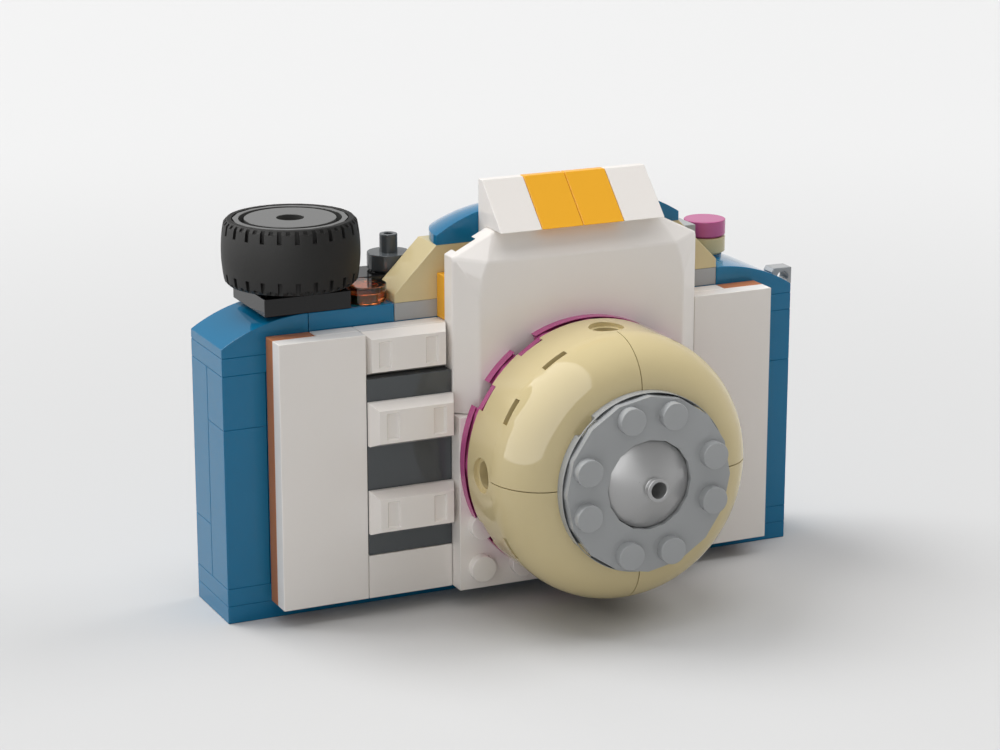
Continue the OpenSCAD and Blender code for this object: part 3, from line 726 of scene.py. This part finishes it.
# Dish: a silver cone in the hole of the front plate, with a small hollow nozzle
# in its middle. It is plastic with a metal sheen, and a peg behind it holds it
# between the domes.
dish_r = 7.8
dish_rim_h = 2.4
dish_h = 5.1
dish_bulge = 0.6
dish_steps = 16
nozzle_r = 2.15
nozzle_bore_r = 1.45
nozzle_l = 1.6
nozzle_neck_r = 1.75
nozzle_lip_h = 0.8
nozzle_lip_slant = 0.2
nozzle_bore_depth = 5.0
dish_peg_l = 4.0
dish_peg_end_r = 0.5
flaked = Surface(bpy.data.materials.new("silver_plastic"))
where = flaked.node("ShaderNodeTexCoord", {}, {}, "Object")
flake = flaked.node("ShaderNodeTexNoise", {}, {"Vector": where, "Scale": 2600, "Detail": 2}, "Fac")
cloud = flaked.node("ShaderNodeTexNoise", {}, {"Vector": where, "Scale": 120, "Detail": 3}, "Fac")
tint = flaked.node(
    "ShaderNodeMix", {"data_type": "RGBA"},
    {"Factor": cloud, 6: linear(164, 164, 164), 7: linear(172, 172, 172)}, 2)
relief = flaked.node("ShaderNodeBump", {}, {"Strength": 0.05, "Distance": 0.0001, "Height": flake})
metal = flaked.node("ShaderNodeBsdfPrincipled", {}, {
    "Base Color": tint,
    "Metallic": 0.4 + 0.1 * cloud,
    "Roughness": 0.26 + 0.06 * flake,
    "IOR": 1.4,
    "Normal": relief,
})
flaked.node("ShaderNodeOutputMaterial", {}, {"Surface": metal})
silver = flaked.owner, "silver_plastic"

profile = [
    (dish_peg_end_r, -dish_peg_l), (stud_r, -dish_peg_l), (stud_r, 0),
    (dish_r, 0), (dish_r, dish_rim_h),
]
for n in range(1, dish_steps):
    share = n / dish_steps
    rise = (dish_h - dish_rim_h) * share + dish_bulge * share * (1 - share)
    profile.append((dish_r + (nozzle_r - dish_r) * share, dish_rim_h + rise))
tip = dish_h + nozzle_l
lip = tip - nozzle_lip_h
profile += [
    (nozzle_neck_r, dish_h), (nozzle_neck_r, lip), (nozzle_r, lip + nozzle_lip_slant),
    (nozzle_r, tip), (nozzle_bore_r, tip), (nozzle_bore_r, tip - nozzle_bore_depth),
]
bm = bmesh.new()
skin(bm, front_place, [hoop(out, z, count=fine) for out, z in profile])
moulding("lens_dish", bm, silver, radius=0.12)


# Roof: two tan slopes rise from the deck to the crown, each with a thin lip and
# a stud on its flat end, which holds a quarter dome.
roof_h = brick_plates * plate_h
slope_line = [
    (play, 0), (2 * pitch - play, 0), (2 * pitch - play, roof_h), (pitch, roof_h), (play, lip_h),
]
for node, place in (
    ("roof_slope_left", at(deck_col, 0, roof_level)),
    ("roof_slope_right", at(deck_col + deck_cols, 0, roof_level) @ mirrored),
):
    bm = bmesh.new()
    skin(bm, place, [[(x, y, z) for x, z in slope_line] for y in (play, pitch - play)])
    stud(bm, place, 1.5 * pitch, pitch / 2, roof_h)
    moulding(node, bm, tan)


# Crown: two azure quarter domes left and right of the caps, a brick behind them
# and a tile on top. Each dome is a curved slope turned about its inner corner.
crown_col = 7
crown_cols = 2
crown_level = roof_level + brick_plates
crown_section = slope_section(slope_l - 2 * play)
for node, place in (
    ("crown_dome_left", at(crown_col, 0, crown_level) @ mirrored),
    ("crown_dome_right", at(crown_col + crown_cols, 0, crown_level)),
):
    bm = bmesh.new()
    skin(bm, place @ Matrix.Translation((play, play, 0)), quarter_turn(crown_section))
    moulding(node, bm, azure, sharp=20)

bm = bmesh.new()
brick(bm, at(crown_col - 1, 1, roof_level), crown_cols + 2, 1, brick_plates)
moulding("crown_back_brick", bm, azure)

bm = bmesh.new()
brick(bm, at(crown_col, 0, crown_level + 1), crown_cols, body_rows, 1, studded=False)
moulding("crown_tile", bm, azure)


# Dial plate: black, two studs square, with an upright pin and a collar in its
# middle. The plate beside it at the back carries the post.
black = moulded_plastic("black_plastic", linear(16, 16, 17))
dial_col = 1
pin_r = 2.35
pin_l = 8.0
collar_r = 3.0
collar_h = 0.8

bm = bmesh.new()
place = at(dial_col, 0, roof_level)
brick(bm, place, 2, body_rows, 1, studded=False)
skin(bm, place, [
    hoop(out, z, pitch, pitch) for out, z in (
        (collar_r, plate_h - overlap), (collar_r, plate_h + collar_h),
        (pin_r, plate_h + collar_h), (pin_r, plate_h + pin_l),
    )
])
moulding("dial_base", bm, black)

bm = bmesh.new()
place = at(dial_col + 2, 1, roof_level)
brick(bm, place, 2, 1, 1, studded=False)
stud(bm, place, 1.5 * pitch, pitch / 2, plate_h)
moulding("rear_plate", bm, black)


# Dial hub: a sixteen-sided wheel of dark plastic on the pin, with a ring groove
# and a round hole in its face. The hub turns with its tyre.
hub_rim_r = 10.05
hub_groove_r = 8.95
hub_disc_r = 8.0
hub_groove_depth = 5.0
hub_h = 11.25
dial_place = at(dial_col + 1, 1, roof_level + 1)
hub_grey = moulded_plastic("hub_plastic", linear(82, 82, 81), slot="dark_grey_plastic")

bm = bmesh.new()
skin(bm, dial_place @ Matrix.Translation((0, 0, collar_h)), [
    many_sided(hub_rim_r, 0),
    many_sided(hub_rim_r, hub_h),
    hoop(hub_groove_r, hub_h, count=fine),
    hoop(hub_groove_r, hub_h - hub_groove_depth, count=fine),
    hoop(hub_disc_r, hub_h - hub_groove_depth, count=fine),
    hoop(hub_disc_r, hub_h, count=fine),
    hoop(stud_r, hub_h, count=fine),
    hoop(stud_r, 0, count=fine),
], joined=True)
moulding("dial_hub", bm, hub_grey, body="dial", radius=0.1)


# Dial tyre: soft black rubber with a bulging tread and long and short grooves
# at both shoulders, stretched over the hub.
tyre_r = 12.09
tyre_shoulder_r = 11.45
tyre_bore_r = 10.15
tyre_w = 11.4
tyre_lift = 0.7
tyre_chamfer = 0.5
groove_count = 24
groove_w = 0.75
groove_depth = 0.4
groove_lengths = [2.3, 0.8]
chamfer_end = 0.63
tread_steps = [1.5, 3.6, 4.7]
tread_rise = tyre_r - tyre_shoulder_r
tread_arc_r = (tyre_w ** 2 / 4 + tread_rise ** 2) / (2 * tread_rise)
groove_floor = tyre_shoulder_r - groove_depth
side_r = tyre_shoulder_r - tyre_chamfer

rubber = Surface(bpy.data.materials.new("tyre_rubber"))
where = rubber.node("ShaderNodeTexCoord", {}, {}, "Object")
bloom = rubber.node("ShaderNodeTexNoise", {}, {"Vector": where, "Scale": 160, "Detail": 5}, "Fac")
pores = rubber.node("ShaderNodeTexNoise", {}, {"Vector": where, "Scale": 3200, "Detail": 2}, "Fac")
tint = rubber.node(
    "ShaderNodeMix", {"data_type": "RGBA"},
    {"Factor": bloom, 6: linear(22, 22, 21), 7: linear(32, 31, 30)}, 2)
relief = rubber.node("ShaderNodeBump", {}, {"Strength": 0.2, "Distance": 0.0001, "Height": pores})
soft = rubber.node("ShaderNodeBsdfPrincipled", {}, {
    "Base Color": tint,
    "Roughness": 0.5 + 0.15 * bloom,
    "IOR": 1.33,
    "Normal": relief,
})
rubber.node("ShaderNodeOutputMaterial", {}, {"Surface": soft})


def tread_out(z):
    """Radius of the tyre at a height z, chamfer and bulge together."""
    edge = min(z, tyre_w - z)
    bulge = tyre_r - tread_arc_r + math.sqrt(tread_arc_r ** 2 - (z - tyre_w / 2) ** 2)
    return min(side_r + edge, bulge)


# A groove's length stands twice among the heights: once cut, and once at the top
# of the groove's end wall.
heights = sorted([groove_floor - side_r, chamfer_end] + tread_steps + 2 * groove_lengths)
heights = heights + [tyre_w / 2] + [tyre_w - z for z in reversed(heights)]


def tyre_section(a, groove=0):
    """The tyre's section at an angle. In a groove both shoulders are cut back."""
    outer = []
    for n, z in enumerate(heights):
        from_side = min(n, len(heights) - 1 - n)
        end_wall = groove and from_side == heights.index(groove) + 1
        cut = groove and min(z, tyre_w - z) <= groove and not end_wall
        outer.append((groove_floor if cut else tread_out(z), z))
    ring = [(tyre_bore_r, 0), (side_r, 0)] + outer + [(side_r, tyre_w), (tyre_bore_r, tyre_w)]
    return turned_section(ring, a)


rings = []
groove_turn = groove_w / 2 / tyre_shoulder_r
for n in range(2 * groove_count):
    a = n * math.pi / groove_count
    length = groove_lengths[n % 2]
    rings += [
        tyre_section(a - groove_turn), tyre_section(a - groove_turn, length), tyre_section(a, length),
        tyre_section(a + groove_turn, length), tyre_section(a + groove_turn),
        tyre_section(a + math.pi / groove_count / 2),
    ]
bm = bmesh.new()
skin(bm, dial_place @ Matrix.Translation((0, 0, tyre_lift)), rings, joined=True)
moulding("dial_tyre", bm, (rubber.owner, "tyre_rubber"), body="dial", radius=0.06)


# Post: a dark grey round plate with a narrow foot and a thin hollow tube on top,
# moulded in one. It sits on the stud of the rear plate, and can turn on it.
round_r = 3.9
foot_h = 0.35
post_tube_r = 1.62
post_bore_r = 0.8
post_tube_l = 3.3
post_bore_depth = 3.0


def round_plate(bm, place):
    """A round plate, one stud wide, that is narrower at its foot."""
    skin(bm, place, [hoop(out, z, count=64) for out, z in (
        (stud_r + play, hollow_h), (stud_r + play, 0), (foot_r, 0), (foot_r, foot_h),
        (round_r, foot_h), (round_r, plate_h),
    )])


bm = bmesh.new()
place = at(dial_col + 3.5, 1.5, roof_level + 1)
round_plate(bm, place)
skin(bm, place, [hoop(out, plate_h + z) for out, z in (
    (post_tube_r, -overlap), (post_tube_r, post_tube_l), (post_bore_r, post_tube_l),
    (post_bore_r, post_tube_l - post_bore_depth),
)])
moulding("shutter_post", bm, dark_grey, body="post")


# Signal lamp: a round plate of clear orange plastic on a stud of the shoulder
# plate, between the dial and the hood. It can turn on its stud.
clear = Surface(bpy.data.materials.new("clear_orange_plastic"))
where = clear.node("ShaderNodeTexCoord", {}, {}, "Object")
swirl = clear.node("ShaderNodeTexNoise", {}, {"Vector": where, "Scale": 300, "Detail": 2}, "Fac")
tint = clear.node(
    "ShaderNodeMix", {"data_type": "RGBA"},
    {"Factor": swirl, 6: linear(250, 128, 60), 7: linear(253, 150, 84)}, 2)
glass = clear.node("ShaderNodeBsdfPrincipled", {}, {
    "Base Color": tint,
    "Roughness": 0.03 + 0.02 * swirl,
    "IOR": 1.55,
    "Transmission Weight": 1.0,
})
clear.node("ShaderNodeOutputMaterial", {}, {"Surface": glass})
bm = bmesh.new()
round_plate(bm, at(dial_col + 2.5, 0.5, roof_level))
moulding("signal_lamp", bm, (clear.owner, "clear_orange_plastic"), body="lamp")


# Knob: a tan round plate with a rose one pushed onto its stud. The two turn as
# one on the stud of the right end slope.
bm = bmesh.new()
round_plate(bm, knob_place)
stud(bm, knob_place, 0, 0, plate_h)
moulding("knob_base", bm, tan, body="knob")

bm = bmesh.new()
round_plate(bm, at(body_cols - 1.5, 1.5, roof_level + 1))
moulding("knob_cap", bm, rose, body="knob")


# Eyepiece: a light grey block without studs, two plates high. It is pushed onto
# the last stud of the deck's back row, behind the right roof slope.
eyepiece_plates = 2

bm = bmesh.new()
brick(bm, at(deck_col + deck_cols - 1, 1, roof_level), 1, 1, eyepiece_plates, studded=False)
moulding("eyepiece_block", bm, light_grey)


# Strap lug: a light grey eye on a pad at the right side wall, held by a peg in
# the edge of the end plate. Its hole is for a thin strap.
lug_t = 3.2
lug_reach = 3.8
lug_rise = 3.15
lug_hole_r = 1.2
lug_hole_up = 1.25
lug_pad_t = 1.6
lug_peg_r = 1.0
lug_peg_l = 1.2
side_place = at(body_cols, 1, end_level)
lug_top = plate_h + lug_rise
lug_line = [
    (0, 0), (0, plate_h + lip_h + play), (-lug_reach / 8, plate_h + lug_rise * 3 / 4),
    (0, lug_top), (lug_reach, lug_top - play), (lug_reach, plate_h), (lug_pad_t, 0),
]
bm = bmesh.new()
skin(bm, side_place, [[(x, y, z) for x, z in lug_line] for y in (-lug_t / 2, lug_t / 2)])
cutter = bmesh.new()
hole = Matrix.Translation((lug_reach / 2, 0, plate_h + lug_hole_up))
hole = hole @ Matrix.Rotation(math.pi / 2, 4, "X")
skin(cutter, side_place @ hole, [hoop(lug_hole_r, z) for z in (-lug_t, lug_t)])
bm = carved(bm, cutter)
skin(bm, side_place, [
    oblong(0, -pitch / 2, lug_pad_t, pitch / 2, z) for z in (-plate_h / 2, plate_h)
])
peg = Matrix.Translation((0, 0, plate_h / 2)) @ Matrix.Rotation(math.pi / 2, 4, "Y")
skin(bm, side_place @ peg, [hoop(lug_peg_r, z, count=24) for z in (-lug_peg_l, overlap)])
moulding("strap_lug", bm, light_grey)


# Studio floor: a wide matt sheet, in metres, with painted shade that makes its
# colour a little darker near the object. It also takes the object's real shadow.
floor_reach = 10
painted_shade_near = 0.1
painted_shade_far = 0.45
sheet = Surface(bpy.data.materials.new("studio_floor"))
where = sheet.node("ShaderNodeTexCoord", {}, {}, "Object")
away = sheet.node("ShaderNodeVectorMath", {"operation": "LENGTH"}, {0: where}, "Value")
# Painted shade: the sheet's colour darkens towards the object, out to about half a metre from it.
painted_shade = sheet.node(
    "ShaderNodeMapRange", {"interpolation_type": "SMOOTHSTEP"},
    {"Value": away, 1: painted_shade_near, 2: painted_shade_far})
tint = sheet.node(
    "ShaderNodeMix", {"data_type": "RGBA"},
    {"Factor": painted_shade, 6: linear(198, 198, 198), 7: linear(210, 210, 210)}, 2)
matt = sheet.node("ShaderNodeBsdfPrincipled", {}, {
    "Base Color": tint,
    "Roughness": 0.9,
    "Specular IOR Level": 0.0,
})
sheet.node("ShaderNodeOutputMaterial", {}, {"Surface": matt})
bm = bmesh.new()
bm.faces.new([bm.verts.new(p) for p in oblong(-floor_reach, -floor_reach, floor_reach, floor_reach, 0)])
mesh = bpy.data.meshes.new("studio_floor")
bm.to_mesh(mesh)
bm.free()
floor = bpy.data.objects.new("studio_floor", mesh)
mesh.materials.append(sheet.owner)
bpy.context.scene.collection.objects.link(floor)


# Studio light: four soft boxes, a panel at the left for the reflections, and a
# pale room all round that is brighter to the camera, through clear pieces and
# low down in reflections.
def soft_box(name, azimuth, elevation, distance, width, height, power):
    """A lamp that faces the object. Azimuth 0 is in front, and it grows to the right."""
    a, e = math.radians(azimuth), math.radians(elevation)
    place = Vector((math.sin(a) * math.cos(e), -math.cos(a) * math.cos(e), math.sin(e))) * distance
    lamp = bpy.data.lights.new(name, "AREA")
    lamp.shape = "RECTANGLE"
    lamp.size, lamp.size_y, lamp.energy = width, height, power
    obj = bpy.data.objects.new(name, lamp)
    obj.location = place
    obj.rotation_mode = "QUATERNION"
    obj.rotation_quaternion = (-place).to_track_quat("-Z", "Y")
    bpy.context.scene.collection.objects.link(obj)
    return obj


back = soft_box("key_light", azimuth=-140, elevation=55, distance=9, width=5.5, height=5.5, power=560)
above = soft_box("top_light", azimuth=0, elevation=89, distance=9, width=5, height=5, power=205)
right = soft_box("fill_light", azimuth=90, elevation=45, distance=9, width=5, height=5, power=250)
left = soft_box("side_light", azimuth=-85, elevation=40, distance=3, width=10.8, height=5.2, power=60)
for lamp in (back, above, right, left):
    lamp.visible_glossy = False
panel = soft_box(
    "reflected_panel", azimuth=-85, elevation=40, distance=4, width=14.4, height=6.9, power=1050)
panel.visible_diffuse = False

room_light = 0.3
room_seen = 0.58
room_reflected = 0.6
low_reach = 0.8
room = Surface(bpy.data.worlds.new("pale_room"))
direction = room.node("ShaderNodeTexCoord", {}, {}, "Generated")
up = room.node("ShaderNodeSeparateXYZ", {}, {"Vector": direction}, "Z")
low = room.node("ShaderNodeMapRange", {}, {"Value": up, 1: 0.0, 2: low_reach, 3: 1.0, 4: 0.0})
seen = room.node("ShaderNodeLightPath", {}, {}, "Is Camera Ray")
glossy = room.node("ShaderNodeLightPath", {}, {}, "Is Glossy Ray")
seen_through = room.node("ShaderNodeLightPath", {}, {}, "Is Transmission Ray")
light = room.node("ShaderNodeBackground", {}, {
    "Color": (1, 1, 1, 1),
    "Strength": room_light + room_seen * (seen + seen_through) + room_reflected * glossy * low * low,
})
room.node("ShaderNodeOutputWorld", {}, {"Surface": light})
bpy.context.scene.world = room.owner
bpy.context.scene.view_settings.view_transform = "Standard"


# Camera: a long lens half a metre off, at the left of the object and above it. Its
# place and its line of sight were solved from the studs and corners in the photo.
line_of_sight = Vector((0.40644, 0.87270, -0.27054))
camera = bpy.data.objects.new("camera", bpy.data.cameras.new("camera"))
camera.data.sensor_width = 36
camera.data.lens = 102.28
camera.data.clip_start = 0.01
camera.data.clip_end = 20
camera.location = (-0.209677, -0.450196, 0.176162)
camera.rotation_mode = "QUATERNION"
camera.rotation_quaternion = line_of_sight.to_track_quat("-Z", "Y")
bpy.context.scene.collection.objects.link(camera)
bpy.context.scene.camera = camera
